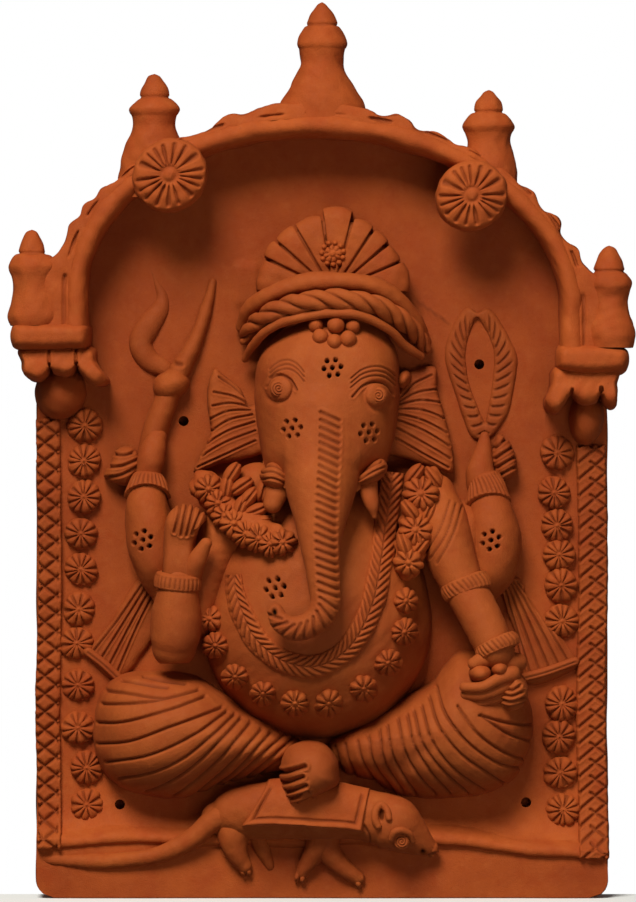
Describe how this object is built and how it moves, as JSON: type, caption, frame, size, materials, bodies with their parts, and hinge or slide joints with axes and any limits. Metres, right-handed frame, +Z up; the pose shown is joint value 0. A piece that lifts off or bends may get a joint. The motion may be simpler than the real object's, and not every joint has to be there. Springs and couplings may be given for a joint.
{
  "type": "terracotta relief plaque",
  "caption": "Terracotta wall plaque of a seated elephant-headed figure with a mouse, modelled in relief inside an arched niche with finials, rosettes and hatched borders.",
  "frame": {"origin": "on the flat wall face, at mid-width, 150 mm above the foot, midway between the four fixing holes", "axes": "+Z up, +Y into the wall the plaque hangs on, so the relief faces -Y; +X to the viewer's right"},
  "size_m": [0.313, 0.0815, 0.448],
  "materials": {
    "slab_clay": "matte",
    "figure_clay": "matte",
    "trim_clay": "matte"
  },
  "bodies": {
    "root": {"arch_band": "slab_clay", "arch_crest": "slab_clay", "arch_rosette_left": "trim_clay", "arch_rosette_right": "trim_clay", "back_slab": "slab_clay", "base_moulding": "slab_clay", "belly": "figure_clay", "belly_band": "trim_clay", "belly_flowers": "trim_clay", "button_row_left": "trim_clay", "button_row_right": "trim_clay", "corbel_left": "slab_clay", "corbel_right": "slab_clay", "crown_band": "figure_clay", "crown_fan": "figure_clay", "crown_flower": "trim_clay", "crown_rope": "figure_clay", "ear_left": "figure_clay", "ear_right": "figure_clay", "eye_left": "figure_clay", "eye_right": "figure_clay", "finial_lower_left": "slab_clay", "finial_lower_right": "slab_clay", "finial_top": "slab_clay", "finial_upper_left": "slab_clay", "finial_upper_right": "slab_clay", "foot": "figure_clay", "forearm_left": "figure_clay", "forehead_beads": "trim_clay", "front_arm_right": "figure_clay", "front_hand_right": "figure_clay", "goad": "figure_clay", "hatched_strip_left": "trim_clay", "hatched_strip_right": "trim_clay", "head": "figure_clay", "headband": "figure_clay", "leg_left": "figure_clay", "leg_right": "figure_clay", "lotus_bud_left": "trim_clay", "lotus_bud_right": "trim_clay", "lotus_cup_left": "trim_clay", "lotus_cup_right": "trim_clay", "mouse_body": "figure_clay", "mouse_tail": "figure_clay", "noose": "figure_clay", "palm_left": "figure_clay", "rear_arm_left": "figure_clay", "rear_arm_right": "figure_clay", "rear_hand_left": "figure_clay", "rear_hand_right": "figure_clay", "saddle_cloth": "trim_clay", "sash_left": "figure_clay", "sash_right": "figure_clay", "shoulder_garland_left": "trim_clay", "shoulder_garland_right": "trim_clay", "sweet": "trim_clay", "trunk": "figure_clay", "tusk_left": "figure_clay", "tusk_right": "figure_clay", "upper_arm_left": "figure_clay"}
  },
  "joints": []
}
